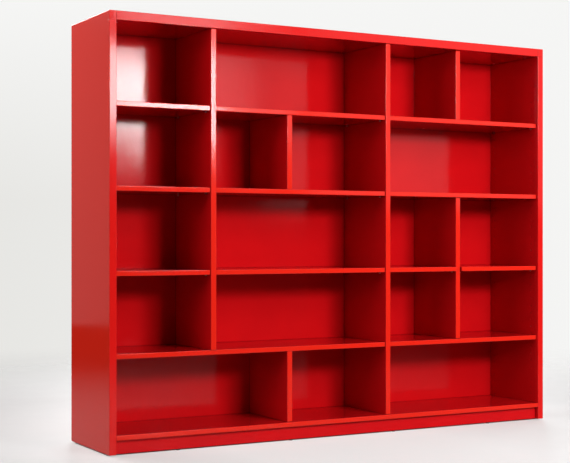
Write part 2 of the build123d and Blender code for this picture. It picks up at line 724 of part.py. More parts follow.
back_screw = turned(
    (
        (0, -BACK_SCREW_HEAD_HEIGHT),
        (BACK_SCREW_HEAD_RADIUS, -BACK_SCREW_HEAD_HEIGHT / 2),
        (BACK_SCREW_HEAD_RADIUS, 0),
        (BACK_SCREW_SHANK_RADIUS, 0),
        (BACK_SCREW_SHANK_RADIUS, BACK_SCREW_LENGTH - BACK_SCREW_SHANK_RADIUS),
        (0, BACK_SCREW_LENGTH),
    )
)
placed(
    back_screw,
    "back_panel_screws",
    [Plane(origin=(x, BACK_REAR, z), z_dir=(0, -1, 0)) for x, z in back_screw_places()],
)

floor_glide = turned(
    (
        (0, 0),
        (GLIDE_RADIUS - GLIDE_CHAMFER, 0),
        (GLIDE_RADIUS, GLIDE_CHAMFER),
        (GLIDE_RADIUS, FLOOR_GAP),
        (GLIDE_STEM_RADIUS, FLOOR_GAP),
        (GLIDE_STEM_RADIUS, FLOOR_GAP + GLIDE_STEM_LENGTH),
        (0, FLOOR_GAP + GLIDE_STEM_LENGTH),
    )
)
placed(
    floor_glide,
    "floor_glides",
    [Plane(origin=(x, y, 0), z_dir=(0, 0, 1)) for x, y in glide_places()],
)
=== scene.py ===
import math

import bmesh
import bpy
from bpy.props import FloatProperty, FloatVectorProperty, PointerProperty
from bpy.types import Operator, Panel, PropertyGroup
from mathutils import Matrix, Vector


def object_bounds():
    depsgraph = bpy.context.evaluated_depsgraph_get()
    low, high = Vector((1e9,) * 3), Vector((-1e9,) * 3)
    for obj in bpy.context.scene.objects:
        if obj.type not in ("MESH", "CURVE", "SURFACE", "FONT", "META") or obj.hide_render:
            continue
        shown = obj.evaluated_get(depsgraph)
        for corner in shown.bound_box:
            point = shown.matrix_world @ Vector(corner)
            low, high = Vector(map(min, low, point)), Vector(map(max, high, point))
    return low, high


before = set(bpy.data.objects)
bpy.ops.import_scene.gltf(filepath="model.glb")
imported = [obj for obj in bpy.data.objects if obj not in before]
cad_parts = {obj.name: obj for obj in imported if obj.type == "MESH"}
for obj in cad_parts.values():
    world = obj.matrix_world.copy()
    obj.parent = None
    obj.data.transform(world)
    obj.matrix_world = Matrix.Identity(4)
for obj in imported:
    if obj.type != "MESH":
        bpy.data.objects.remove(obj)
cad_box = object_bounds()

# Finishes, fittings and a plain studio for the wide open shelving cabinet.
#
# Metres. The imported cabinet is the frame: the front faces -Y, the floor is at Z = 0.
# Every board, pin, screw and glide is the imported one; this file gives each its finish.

bl_info = {
    "name": "Open Shelving Cabinet Finishes",
    "version": (1, 0, 0),
    "blender": (4, 5, 0),
    "location": "3D View > Sidebar > Cabinet",
    "description": "Lacquer, metal, wood and plastic finishes for an open shelving cabinet",
    "category": "Material",
}

# --------------------------------------------------------------------------
# The cabinet's pieces, by what a maker would call them
# --------------------------------------------------------------------------

SIDES = ("left_side_panel", "right_side_panel")
FRONT_FRAME = (
    "left_front_stile",
    "right_front_stile",
    "top_front_rail",
    "left_corner_block",
    "right_corner_block",
)
TOP_AND_BOTTOM = ("top_panel", "bottom_panel")
BACK_PANEL = ("back_panel",)
PLINTH = ("front_plinth", "rear_plinth", "plinth_bearers")
REAR_RAILS = ("top_rear_rail", "middle_rear_rail")
DIVIDERS = (
    "tall_divider_left",
    "tall_divider_right",
    "bottom_row_divider",
    "middle_row_divider",
    "right_top_divider",
    "right_tall_divider",
)
SHELVES = (
    "long_shelf",
    "left_bay_shelf_1",
    "left_bay_shelf_2",
    "left_bay_shelf_3",
    "middle_bay_shelf_1",
    "middle_bay_shelf_2",
    "middle_bay_shelf_3",
    "right_bay_shelf_1",
    "right_bay_shelf_2",
    "right_bay_shelf_3_left",
    "right_bay_shelf_3_right",
    "right_bay_shelf_4",
)
SHELF_PINS = ("left_bay_shelf_pins", "middle_bay_shelf_pins", "right_bay_shelf_pins")
SCREWS = (
    "divider_screws",
    "middle_row_divider_screws",
    "right_top_divider_screws",
    "back_panel_screws",
)
CAM_LOCKS = ("cam_locks",)
CAM_BOLTS = ("cam_bolts",)
DOWELS = ("joint_dowels",)
GLIDES = ("floor_glides",)


# --------------------------------------------------------------------------
# Settings a user would change
# --------------------------------------------------------------------------


class LacquerSettings(PropertyGroup):
    """The sprayed gloss lacquer on every board"""

    colour: FloatVectorProperty(
        name="Lacquer colour",
        description="Colour of a full, well covered film",
        subtype="COLOR",
        size=3,
        min=0.0,
        max=1.0,
        default=(0.45, 0.0036, 0.0054),
    )
    deep_colour: FloatVectorProperty(
        name="Deep colour",
        description="Colour where the film is a little thicker",
        subtype="COLOR",
        size=3,
        min=0.0,
        max=1.0,
        default=(0.42, 0.003, 0.005),
    )
    # Painted light: a brighter copy of the lacquer laid on the forward faces, which the lights strike
    # most.
    front_light_colour: FloatVectorProperty(
        name="Front colour",
        description="Colour on the faces and edges that look forward, which got the most passes",
        subtype="COLOR",
        size=3,
        min=0.0,
        max=1.0,
        default=(0.7, 0.016, 0.007),
    )
    # Painted light: a brighter copy of the lacquer for the sides' outer faces, for how they are lit.
    outside_light_colour: FloatVectorProperty(
        name="Outside colour",
        description="Colour on the outer faces of the sides, a touch warmer than inside",
        subtype="COLOR",
        size=3,
        min=0.0,
        max=1.0,
        default=(0.505, 0.012, 0.004),
    )
    # Painted highlight: a pale band laid along the eased edges where they would catch the softbox.
    edge_highlight_colour: FloatVectorProperty(
        name="Thin edge colour",
        description="Colour where the film thins over an eased edge",
        subtype="COLOR",
        size=3,
        min=0.0,
        max=1.0,
        default=(0.8, 0.13, 0.1),
    )
    # Painted shade: the dark colour laid into joints and creases by ambient occlusion.
    crease_shade_colour: FloatVectorProperty(
        name="Crease colour",
        description="Colour down in the joints between boards",
        subtype="COLOR",
        size=3,
        min=0.0,
        max=1.0,
        default=(0.12, 0.0, 0.001),
    )
    dust_colour: FloatVectorProperty(
        name="Dust colour",
        description="Fine dust lying on the level faces",
        subtype="COLOR",
        size=3,
        min=0.0,
        max=1.0,
        default=(0.55, 0.16, 0.14),
    )
    roughness: FloatProperty(
        name="Gloss roughness",
        description="Roughness of the polished film",
        subtype="FACTOR",
        min=0.02,
        max=1.0,
        default=0.09,
    )
    peel_size: FloatProperty(
        name="Orange peel size",
        description="Width of one cell of the orange peel",
        unit="LENGTH",
        min=0.001,
        max=0.05,
        default=0.007,
    )
    peel_depth: FloatProperty(
        name="Orange peel depth",
        description="Height of the orange peel's waves",
        unit="LENGTH",
        precision=6,
        min=0.0,
        max=0.001,
        default=0.00008,
    )
    # The same width sets the band of painted highlight along the edges and the radius of their eased
    # normals.
    edge_width: FloatProperty(
        name="Edge width",
        description="Width of the band along an edge where the film is thin",
        unit="LENGTH",
        min=0.0005,
        max=0.02,
        default=0.003,
    )


class FittingSettings(PropertyGroup):
    """The metal, wooden and plastic fittings"""

    nickel: FloatVectorProperty(
        name="Nickel",
        description="Colour of the plated shelf pins",
        subtype="COLOR",
        size=3,
        min=0.0,
        max=1.0,
        default=(0.62, 0.6, 0.56),
    )
    zinc: FloatVectorProperty(
        name="Zinc",
        description="Colour of the cams, bolts and screws",
        subtype="COLOR",
        size=3,
        min=0.0,
        max=1.0,
        default=(0.56, 0.57, 0.6),
    )
    beech: FloatVectorProperty(
        name="Beech",
        description="Colour of the pale wood between the growth rings",
        subtype="COLOR",
        size=3,
        min=0.0,
        max=1.0,
        default=(0.62, 0.43, 0.26),
    )
    plastic: FloatVectorProperty(
        name="Glide plastic",
        description="Colour of the moulded floor glides",
        subtype="COLOR",
        size=3,
        min=0.0,
        max=1.0,
        default=(0.03, 0.03, 0.032),
    )


class StudioSettings(PropertyGroup):
    """The floor, the backdrop, the soft lights and the camera"""

    floor_colour: FloatVectorProperty(
        name="Floor colour",
        description="Pale matt studio floor",
        subtype="COLOR",
        size=3,
        min=0.0,
        max=1.0,
        default=(0.8, 0.79, 0.785),
    )
    backdrop_left: FloatVectorProperty(
        name="Backdrop, shaded side",
        description="Backdrop to the left of the cabinet",
        subtype="COLOR",
        size=3,
        min=0.0,
        max=1.0,
        default=(0.79, 0.785, 0.76),
    )
    backdrop_right: FloatVectorProperty(
        name="Backdrop, bright side",
        description="Backdrop to the right of the cabinet",
        subtype="COLOR",
        size=3,
        min=0.0,
        max=1.0,
        default=(0.92, 0.92, 0.91),
    )
    light_level: FloatProperty(
        name="Light level",
        description="Scales every studio light",
        min=0.0,
        max=10.0,
        default=1.0,
    )
    camera_place: FloatVectorProperty(
        name="Camera place",
        description="Where the camera stands",
        subtype="TRANSLATION",
        unit="LENGTH",
        size=3,
        default=(-2.945, -4.953, 0.845),
    )
    camera_heading: FloatProperty(
        name="Camera heading",
        description="Turn of the level camera to the right of straight ahead",
        subtype="ANGLE",
        unit="ROTATION",
        default=math.radians(29.14),
    )
    camera_lens: FloatProperty(
        name="Camera lens",
        description="Focal length on a sensor 36 mm wide",
        subtype="DISTANCE_CAMERA",
        min=10.0,
        max=300.0,
        default=81.96,
    )
    camera_rise: FloatProperty(
        name="Camera rise",
        description="Vertical shift that frames the cabinet with a level camera",
        default=0.0145,
    )


# --------------------------------------------------------------------------
# Node helpers
# --------------------------------------------------------------------------


def place(tree, kind, sockets=None, **settings):
    """Add a node. Each entry of sockets is a value for that input, or an output to link to it."""
    made = tree.nodes.new(kind)
    for name, value in settings.items():
        setattr(made, name, value)
    for key, value in (sockets or {}).items():
        if isinstance(value, bpy.types.NodeSocket):
            tree.links.new(value, made.inputs[key])
        else:
            made.inputs[key].default_value = value
    return made


def maths(tree, operation, first, second=0.0, clamp=False):
    """A Math node's result."""
    made = place(tree, "ShaderNodeMath", {0: first, 1: second}, operation=operation, use_clamp=clamp)
    return made.outputs[0]


def remap(tree, value, from_low, from_high, to_low, to_high):
    """A value moved, without overshoot, from one range to another."""
    sockets = {0: value, 1: from_low, 2: from_high, 3: to_low, 4: to_high}
    return place(tree, "ShaderNodeMapRange", sockets, clamp=True).outputs[0]


def blend(tree, share, first, second, method="MIX"):
    """Two colours mixed by a share."""
    made = place(tree, "ShaderNodeMix", data_type="RGBA", blend_type=method)
    for key, value in ((0, share), (6, first), (7, second)):
        if isinstance(value, bpy.types.NodeSocket):
            tree.links.new(value, made.inputs[key])
        else:
            made.inputs[key].default_value = value
    return made.outputs[2]


def noise(tree, place_on, scale, detail=2.0, roughness=0.5):
    """Three-dimensional noise between 0 and 1."""
    sockets = {"Vector": place_on, "Scale": scale, "Detail": detail, "Roughness": roughness}
    return place(tree, "ShaderNodeTexNoise", sockets).outputs["Fac"]


def stretched(tree, vector, scale):
    """Coordinates scaled by axis, so that a pattern runs along one of them."""
    return place(tree, "ShaderNodeVectorMath", {0: vector, 1: scale}, operation="MULTIPLY").outputs[0]


def effect(name, inputs, outputs):
    """An empty shader node group with named sockets; gives its tree, inputs and output node."""
    tree = bpy.data.node_groups.new(name, "ShaderNodeTree")
    for label, kind, default in inputs:
        made = tree.interface.new_socket(label, in_out="INPUT", socket_type=kind)
        made.default_value = default
    for label, kind in outputs:
        tree.interface.new_socket(label, in_out="OUTPUT", socket_type=kind)
    given = tree.nodes.new("NodeGroupInput")
    result = tree.nodes.new("NodeGroupOutput")
    return tree, given.outputs, result


def use(tree, group, **values):
    """Place a node group in a material; underscores in the names stand for spaces."""
    made = tree.nodes.new("ShaderNodeGroup")
    made.node_tree = bpy.data.node_groups[group]
    for name, value in values.items():
        key = name.replace("_", " ")
        if isinstance(value, bpy.types.NodeSocket):
            tree.links.new(value, made.inputs[key])
        else:
            made.inputs[key].default_value = value
    return made.outputs


def rgba(colour):
    return (*colour, 1.0)


FLOAT, COLOUR, VECTOR = "NodeSocketFloat", "NodeSocketColor", "NodeSocketVector"


# --------------------------------------------------------------------------
# Effects shared by several finishes
# --------------------------------------------------------------------------

# How finely the spray mist, the dust's specks, the tarnish and the wood's pores are spread
MIST_PER_METRE = 420.0
SPECKS_PER_METRE = 900.0
TARNISH_PER_METRE = 220.0
PORES_PER_METRE = 2600.0

# How far the mist moves the lacquer's tone towards either of its colours
MIST_SHARE = 0.12


def orange_peel():
    """Sprayed film: fine cells, and longer waves that hang a little down the board."""
    tree, given, result = effect(
        "Orange peel",
        [("Cell size", FLOAT, 0.007), ("Wave size", FLOAT, 0.03), ("Wave share", FLOAT, 0.6)],
        [("Height", FLOAT)],
    )
    where = place(tree, "ShaderNodeTexCoord").outputs["Object"]
    cells = noise(tree, where, maths(tree, "DIVIDE", 1.0, given["Cell size"]), 1.0)
    hung = stretched(tree, where, (1.0, 1.0, 0.4))
    waves = noise(tree, hung, maths(tree, "DIVIDE", 1.0, given["Wave size"]), 1.5)
    weighted = maths(tree, "MULTIPLY", waves, given["Wave share"])
    tree.links.new(maths(tree, "ADD", cells, weighted), result.inputs["Height"])


def film_tone():
    """The lacquer's colour, deeper in wide soft patches and paler by the finest mist of spray."""
    tree, given, result = effect(
        "Film tone",
        [
            ("Colour", COLOUR, (0.5, 0.0, 0.0, 1.0)),
            ("Deep colour", COLOUR, (0.4, 0.0, 0.0, 1.0)),
            ("Patch size", FLOAT, 0.3),
        ],
        [("Colour", COLOUR), ("Patches", FLOAT)],
    )
    where = place(tree, "ShaderNodeTexCoord").outputs["Object"]
    wide = noise(tree, where, maths(tree, "DIVIDE", 1.0, given["Patch size"]), 3.0, 0.6)
    patches = remap(tree, wide, 0.35, 0.65, 0.0, 1.0)
    mist = remap(tree, noise(tree, where, MIST_PER_METRE, 2.0), 0.3, 0.7, -MIST_SHARE, MIST_SHARE)
    share = maths(tree, "ADD", patches, mist, clamp=True)
    tree.links.new(blend(tree, share, given["Colour"], given["Deep colour"]), result.inputs["Colour"])
    tree.links.new(patches, result.inputs["Patches"])


def painted_light_faces():
    """Masks of the faces that look straight forward, and of the sides' outer faces, which take brighter
    copies of the lacquer as painted light.
    """
    tree, given, result = effect(
        "Painted light faces", [("Half width", FLOAT, 1.0)], [("Forward", FLOAT), ("Outward", FLOAT)]
    )
    facing = place(tree, "ShaderNodeNewGeometry").outputs["Normal"]
    normal = place(tree, "ShaderNodeSeparateXYZ", {0: facing}).outputs
    where = place(tree, "ShaderNodeTexCoord").outputs["Object"]
    across = place(tree, "ShaderNodeSeparateXYZ", {0: where}).outputs["X"]
    tree.links.new(remap(tree, normal["Y"], -0.7, -0.98, 0.0, 1.0), result.inputs["Forward"])
    outward = maths(tree, "DIVIDE", maths(tree, "MULTIPLY", normal["X"], across), given["Half width"])
    tree.links.new(remap(tree, outward, 0.85, 0.98, 0.0, 1.0), result.inputs["Outward"])


def edge_band():
    """A mask along the board's own edges, broken up as handling breaks it up; on the lacquer it carries
    a painted highlight, on the fittings their wear.
    """
    tree, given, result = effect(
        "Edge band",
        [("Width", FLOAT, 0.003), ("Break size", FLOAT, 0.02)],
        [("Mask", FLOAT), ("Eased normal", VECTOR)],
    )
    rounded = place(tree, "ShaderNodeBevel", {"Radius": given["Width"]}, samples=4).outputs[0]
    flat = place(tree, "ShaderNodeNewGeometry").outputs["True Normal"]
    alike = place(tree, "ShaderNodeVectorMath", {0: rounded, 1: flat}, operation="DOT_PRODUCT")
    apart = maths(tree, "SUBTRACT", 1.0, alike.outputs["Value"])
    turned = remap(tree, apart, 0.01, 0.22, 0.0, 1.0)
    where = place(tree, "ShaderNodeTexCoord").outputs["Object"]
    broken = noise(tree, where, maths(tree, "DIVIDE", 1.0, given["Break size"]), 3.0, 0.6)
    kept = remap(tree, broken, 0.38, 0.62, 0.25, 1.0)
    tree.links.new(maths(tree, "MULTIPLY", turned, kept), result.inputs["Mask"])
    tree.links.new(rounded, result.inputs["Eased normal"])


def handling_marks():
    """Hairline marks from wiping and from things slid in and out, in two crossing directions."""
    tree, given, result = effect(
        "Handling marks", [("Length", FLOAT, 0.08), ("Amount", FLOAT, 0.5)], [("Mask", FLOAT)]
    )
    where = place(tree, "ShaderNodeTexCoord").outputs["Object"]
    fine = maths(tree, "DIVIDE", 1.0, given["Length"])
    lines = []
    for turn, scale in (((0.3, 0.2, 0.5), (1.0, 1.0, 40.0)), ((1.1, 0.4, -0.3), (45.0, 1.0, 1.0))):
        turned = place(tree, "ShaderNodeMapping", {"Vector": where, "Rotation": turn}).outputs[0]
        streaks = noise(tree, stretched(tree, turned, scale), fine, 2.0)
        lines.append(remap(tree, streaks, 0.66, 0.72, 0.0, 1.0))
    both = maths(tree, "MAXIMUM", lines[0], lines[1])
    tree.links.new(maths(tree, "MULTIPLY", both, given["Amount"]), result.inputs["Mask"])


def settled_dust():
    """Fine dust on faces that look up, thicker in loose drifts."""
    tree, given, result = effect(
        "Settled dust", [("Amount", FLOAT, 0.3), ("Drift size", FLOAT, 0.06)], [("Mask", FLOAT)]
    )
    facing = place(tree, "ShaderNodeNewGeometry").outputs["Normal"]
    upward = place(tree, "ShaderNodeSeparateXYZ", {0: facing}).outputs["Z"]
    level = remap(tree, upward, 0.7, 0.98, 0.0, 1.0)
    where = place(tree, "ShaderNodeTexCoord").outputs["Object"]
    drifts = noise(tree, where, maths(tree, "DIVIDE", 1.0, given["Drift size"]), 4.0, 0.65)
    specks = noise(tree, where, SPECKS_PER_METRE, 1.0)
    drifted = remap(tree, drifts, 0.35, 0.75, 0.2, 1.0)
    speckled = remap(tree, specks, 0.4, 0.7, 0.5, 1.0)
    lying = maths(tree, "MULTIPLY", drifted, speckled)
    amount = maths(tree, "MULTIPLY", lying, given["Amount"])
    tree.links.new(maths(tree, "MULTIPLY", amount, level), result.inputs["Mask"])


def turned_metal():
    """Fine turning and tumbling marks on a small metal fitting."""
    tree, given, result = effect(
        "Turned metal",
        [("Colour", COLOUR, (0.6, 0.6, 0.6, 1.0)), ("Mark size", FLOAT, 0.0006)],
        [("Colour", COLOUR), ("Marks", FLOAT)],
    )
    where = place(tree, "ShaderNodeTexCoord").outputs["Object"]
    scale = maths(tree, "DIVIDE", 1.0, given["Mark size"])
    rings = noise(tree, stretched(tree, where, (1.0, 0.15, 0.15)), scale, 2.0)
    tarnish = noise(tree, where, TARNISH_PER_METRE, 3.0)
    darker = blend(tree, 1.0, given["Colour"], (0.72, 0.7, 0.66, 1.0), "MULTIPLY")
    share = remap(tree, tarnish, 0.4, 0.7, 0.0, 0.7)
    tree.links.new(blend(tree, share, given["Colour"], darker), result.inputs["Colour"])
    tree.links.new(rings, result.inputs["Marks"])


def beech_figure():
    """Short flecks and faint growth rings of beech."""
    tree, given, result = effect(
        "Beech figure",
        [("Pale wood", COLOUR, (0.6, 0.42, 0.25, 1.0)), ("Ring size", FLOAT, 0.0025)],
        [("Colour", COLOUR), ("Pores", FLOAT)],
    )
    where = place(tree, "ShaderNodeTexCoord").outputs["Object"]
    scale = maths(tree, "DIVIDE", 1.0, given["Ring size"])
    rings = noise(tree, stretched(tree, where, (0.12, 1.0, 1.0)), scale, 3.0)
    pores = noise(tree, stretched(tree, where, (0.1, 1.0, 1.0)), PORES_PER_METRE, 1.0)
    brown = blend(tree, 1.0, given["Pale wood"], (0.7, 0.6, 0.5, 1.0), "MULTIPLY")
    ringed = blend(tree, remap(tree, rings, 0.35, 0.65, 0.0, 0.8), given["Pale wood"], brown)
    fleck = remap(tree, pores, 0.58, 0.66, 0.0, 0.6)
    tree.links.new(blend(tree, fleck, ringed, (0.2, 0.1, 0.05, 1.0)), result.inputs["Colour"])
    tree.links.new(fleck, result.inputs["Pores"])


def moulded_skin():
    """Spark-eroded texture of a moulded plastic part."""
    tree, given, result = effect("Moulded skin", [("Grain size", FLOAT, 0.0008)], [("Height", FLOAT)])
    where = place(tree, "ShaderNodeTexCoord").outputs["Object"]
    scale = maths(tree, "DIVIDE", 1.0, given["Grain size"])
    cells = place(tree, "ShaderNodeTexVoronoi", {"Vector": where, "Scale": scale}, feature="SMOOTH_F1")
    fine = noise(tree, where, maths(tree, "MULTIPLY", scale, 2.5), 2.0)
    both = maths(tree, "ADD", cells.outputs["Distance"], maths(tree, "MULTIPLY", fine, 0.5))
    tree.links.new(both, result.inputs["Height"])


def crease_shade():
    """Painted shade down in the joints and creases, where ambient occlusion finds them closed in."""
    tree, given, result = effect("Crease shade", [("Reach", FLOAT, 0.005)], [("Open", FLOAT)])
    near = place(tree, "ShaderNodeAmbientOcclusion", {"Distance": given["Reach"]}, samples=6)
    tree.links.new(remap(tree, near.outputs["AO"], 0.35, 0.85, 0.0, 1.0), result.inputs["Open"])


EFFECTS = (
    orange_peel,
    film_tone,
    painted_light_faces,
    edge_band,
    crease_shade,
    handling_marks,
    settled_dust,
    turned_metal,
    beech_figure,
    moulded_skin,
)


def ready_effects():
    """Build the shared effects once."""
    if "Orange peel" not in bpy.data.node_groups:
        for build in EFFECTS:
            build()


# --------------------------------------------------------------------------
# Finishes
# --------------------------------------------------------------------------


LACQUER_IOR = 1.46

# How much of the dust's colour shows
DUST_COVER = 0.12

# What patches, thin edges, wiping marks and dust take from the roughness or add to it
PATCH_POLISHED = 0.015
PATCH_DULLED = 0.02
EDGE_DULLED = 0.08
MARKS_DULLED = 0.05
DUST_DULLED = 0.18


def blank_material(name):
    """A new node material; gives it, its tree and its Principled shader."""
    material = bpy.data.materials.new(name)
    material.use_nodes = True
    tree = material.node_tree
    return material, tree, tree.nodes["Principled BSDF"]


def lacquer(
    name,
    peel=1.0,
    wave=0.03,
    wave_share=0.6,
    dull=0.0,
    marks=0.3,
    dust=0.15,
    thin=0.4,
    front=1.0,
    shine=0.2,
    painted_light_gain=1.0,
):
    """Sprayed red gloss lacquer.

    peel and wave set the film's relief, dull is added to the roughness, marks and dust are how
    much it has been handled, thin is how far a pale painted highlight is laid along the edges,
    front is how far the forward faces take a brighter colour that is painted light, shine is the
    strength of the reflection, and the last argument, a gain, brightens the whole colour as painted
    light, for how brightly each group of pieces is lit.
    """
    ready_effects()
    look = bpy.context.scene.cabinet_lacquer
    material, tree, shader = blank_material(name)

    # Painted light: the gain brightens each group's colour for how brightly that group is lit.
    full = tuple(part * painted_light_gain for part in look.colour)
    deep = tuple(part * painted_light_gain for part in look.deep_colour)
    tone = use(tree, "Film tone", Colour=rgba(full), Deep_colour=rgba(deep))
    band = use(tree, "Edge band", Width=look.edge_width)
    edges = band["Mask"]
    wiped = use(tree, "Handling marks", Amount=marks)["Mask"]
    lying = use(tree, "Settled dust", Amount=dust)["Mask"]

    # Painted light: the forward faces and the sides' outer faces take brighter copies of the lacquer,
    # for how the lights fall on them.
    faces = use(tree, "Painted light faces", Half_width=cad_box[1][0])
    outside = blend(tree, faces["Outward"], tone["Colour"], rgba(look.outside_light_colour))
    ahead = maths(tree, "MULTIPLY", faces["Forward"], front)
    fronted = blend(tree, ahead, outside, rgba(look.front_light_colour))
    # Painted highlight: the edge band pales the colour along every edge.
    edge_highlighted = blend(tree, maths(tree, "MULTIPLY", edges, thin), fronted, rgba(look.edge_highlight_colour))
    # Painted shade: joints and creases darken towards the crease colour by ambient occlusion.
    open_share = use(tree, "Crease shade")["Open"]
    crease_shaded = blend(tree, open_share, rgba(look.crease_shade_colour), edge_highlighted)
    pale = maths(tree, "MULTIPLY", lying, DUST_COVER)
    dusted = blend(tree, pale, crease_shaded, rgba(look.dust_colour))
    tree.links.new(dusted, shader.inputs["Base Color"])

    rough = look.roughness + dull
    film = remap(tree, tone["Patches"], 0.0, 1.0, rough - PATCH_POLISHED, rough + PATCH_DULLED)
    worn = maths(tree, "ADD", film, maths(tree, "MULTIPLY", edges, EDGE_DULLED))
    scuffed = maths(tree, "ADD", worn, maths(tree, "MULTIPLY", wiped, MARKS_DULLED))
    dulled = maths(tree, "ADD", scuffed, maths(tree, "MULTIPLY", lying, DUST_DULLED), clamp=True)
    tree.links.new(dulled, shader.inputs["Roughness"])

    peeled = {"Cell_size": look.peel_size, "Wave_size": wave, "Wave_share": wave_share}
    relief = use(tree, "Orange peel", **peeled)
    bump = {
        "Height": relief["Height"],
        "Strength": 1.0,
        "Distance": look.peel_depth * peel,
        "Normal": band["Eased normal"],
    }
    tree.links.new(place(tree, "ShaderNodeBump", bump).outputs[0], shader.inputs["Normal"])
    shader.inputs["IOR"].default_value = LACQUER_IOR
    shader.inputs["Specular IOR Level"].default_value = shine
    return material


def metal(name, colour, roughness, mark_size=0.0006):
    """A plated or die-cast fitting."""
    ready_effects()
    material, tree, shader = blank_material(name)
    surface = use(tree, "Turned metal", Colour=rgba(colour), Mark_size=mark_size)
    edges = use(tree, "Edge band", Width=0.0004, Break_size=0.003)["Mask"]
    rubbed = maths(tree, "MULTIPLY", edges, 0.5)
    bright = blend(tree, rubbed, surface["Colour"], (0.85, 0.84, 0.82, 1.0))
    tree.links.new(bright, shader.inputs["Base Color"])
    rough = remap(tree, surface["Marks"], 0.3, 0.7, roughness - 0.05, roughness + 0.08)
    tree.links.new(rough, shader.inputs["Roughness"])
    bump = {"Height": surface["Marks"], "Strength": 0.5, "Distance": 0.00003}
    tree.links.new(place(tree, "ShaderNodeBump", bump).outputs[0], shader.inputs["Normal"])
    shader.inputs["Metallic"].default_value = 1.0
    return material


def plain_beech(name, colour):
    """Unfinished beech with a faint compressed grain."""
    ready_effects()
    material, tree, shader = blank_material(name)
    wood = use(tree, "Beech figure", Pale_wood=rgba(colour))
    tree.links.new(wood["Colour"], shader.inputs["Base Color"])
    tree.links.new(remap(tree, wood["Pores"], 0.0, 0.6, 0.55, 0.75), shader.inputs["Roughness"])
    bump = {"Height": wood["Pores"], "Strength": 0.6, "Distance": -0.00008}
    tree.links.new(place(tree, "ShaderNodeBump", bump).outputs[0], shader.inputs["Normal"])
    return material


def moulded_plastic(name, colour):
    """Matt moulded plastic, polished a little where it has slid on the floor."""
    ready_effects()
    material, tree, shader = blank_material(name)
    skin = use(tree, "Moulded skin")["Height"]
    edges = use(tree, "Edge band", Width=0.0012, Break_size=0.006)["Mask"]
    pale = tuple(min(1.0, part * 3.0) for part in colour)
    worn = blend(tree, maths(tree, "MULTIPLY", edges, 0.5), rgba(colour), rgba(pale))
    tree.links.new(worn, shader.inputs["Base Color"])
    rubbed = maths(tree, "MULTIPLY", edges, 0.2)
    rough = remap(tree, skin, 0.2, 0.9, 0.5, 0.62)
    tree.links.new(maths(tree, "SUBTRACT", rough, rubbed), shader.inputs["Roughness"])
    bump = {"Height": skin, "Strength": 0.6, "Distance": 0.00006}
    tree.links.new(place(tree, "ShaderNodeBump", bump).outputs[0], shader.inputs["Normal"])
    return material


def finish(nodes, material):
    """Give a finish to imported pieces, in the slots they already have."""
    for name in nodes:
        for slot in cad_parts[name].material_slots:
            slot.material = material


# --------------------------------------------------------------------------
# Operators, one for each group of like pieces
# --------------------------------------------------------------------------


# The lacquer calls below scale each group's colour as painted light, and set its painted highlight on
# edges and painted light on forward faces.
class CABINET_OT_sides(Operator):
    """Lacquer the two side panels"""

    bl_idname = "cabinet.sides"
    bl_label = "Side Panels"

    def execute(self, context):
        red = lacquer("Red lacquer, sides", wave=0.05, wave_share=0.8, marks=0.4, painted_light_gain=1.22)
        finish(SIDES, red)
        return {"FINISHED"}


class CABINET_OT_front_frame(Operator):
    """Lacquer the stiles, the top rail and the corner blocks"""

    bl_idname = "cabinet.front_frame"
    bl_label = "Front Frame"

    def execute(self, context):
        red = lacquer("Red lacquer, front frame", peel=1.1, thin=0.5, front=0.35, painted_light_gain=1.35)
        finish(FRONT_FRAME, red)
        return {"FINISHED"}


class CABINET_OT_top_and_bottom(Operator):
    """Lacquer the top and bottom panels"""

    bl_idname = "cabinet.top_and_bottom"
    bl_label = "Top and Bottom Panels"

    def execute(self, context):
        red = lacquer("Red lacquer, top and bottom", marks=0.4, dust=0.2, painted_light_gain=1.15)
        finish(TOP_AND_BOTTOM, red)
        return {"FINISHED"}


class CABINET_OT_back_panel(Operator):
    """Lacquer the thin back panel, which shows longer waves than the thick boards"""

    bl_idname = "cabinet.back_panel"
    bl_label = "Back Panel"

    def execute(self, context):
        red = lacquer(
            "Red lacquer, back panel",
            peel=2.0,
            wave=0.027,
            wave_share=1.8,
            front=0.0,
            painted_light_gain=1.25,
        )
        finish(BACK_PANEL, red)
        return {"FINISHED"}


class CABINET_OT_plinth(Operator):
    """Lacquer the plinth, duller and more scuffed near the floor"""

    bl_idname = "cabinet.plinth"
    bl_label = "Plinth"

    def execute(self, context):
        red = lacquer(
            "Red lacquer, plinth",
            dull=0.1,
            marks=0.8,
            dust=0.3,
            front=0.0,
            shine=0.1,
            painted_light_gain=1.3,
        )
        finish(PLINTH, red)
        return {"FINISHED"}


class CABINET_OT_rear_rails(Operator):
    """Lacquer the rear rails"""

    bl_idname = "cabinet.rear_rails"
    bl_label = "Rear Rails"

    def execute(self, context):
        finish(REAR_RAILS, lacquer("Red lacquer, rear rails", dull=0.12, marks=0.4))
        return {"FINISHED"}


class CABINET_OT_dividers(Operator):
    """Lacquer the upright dividers"""

    bl_idname = "cabinet.dividers"
    bl_label = "Dividers"

    def execute(self, context):
        finish(DIVIDERS, lacquer("Red lacquer, dividers", wave=0.04, painted_light_gain=1.2))
        return {"FINISHED"}


class CABINET_OT_shelves(Operator):
    """Lacquer the fixed and loose shelves"""

    bl_idname = "cabinet.shelves"
    bl_label = "Shelves"

    def execute(self, context):
        red = lacquer("Red lacquer, shelves", marks=0.6, dust=0.2, thin=0.6, painted_light_gain=1.15)
        finish(SHELVES, red)
        return {"FINISHED"}


class CABINET_OT_shelf_pins(Operator):
    """Nickel plate the shelf pins"""

    bl_idname = "cabinet.shelf_pins"
    bl_label = "Shelf Pins"

    def execute(self, context):
        finish(SHELF_PINS, metal("Nickel plate", context.scene.cabinet_fittings.nickel, 0.25))
        return {"FINISHED"}


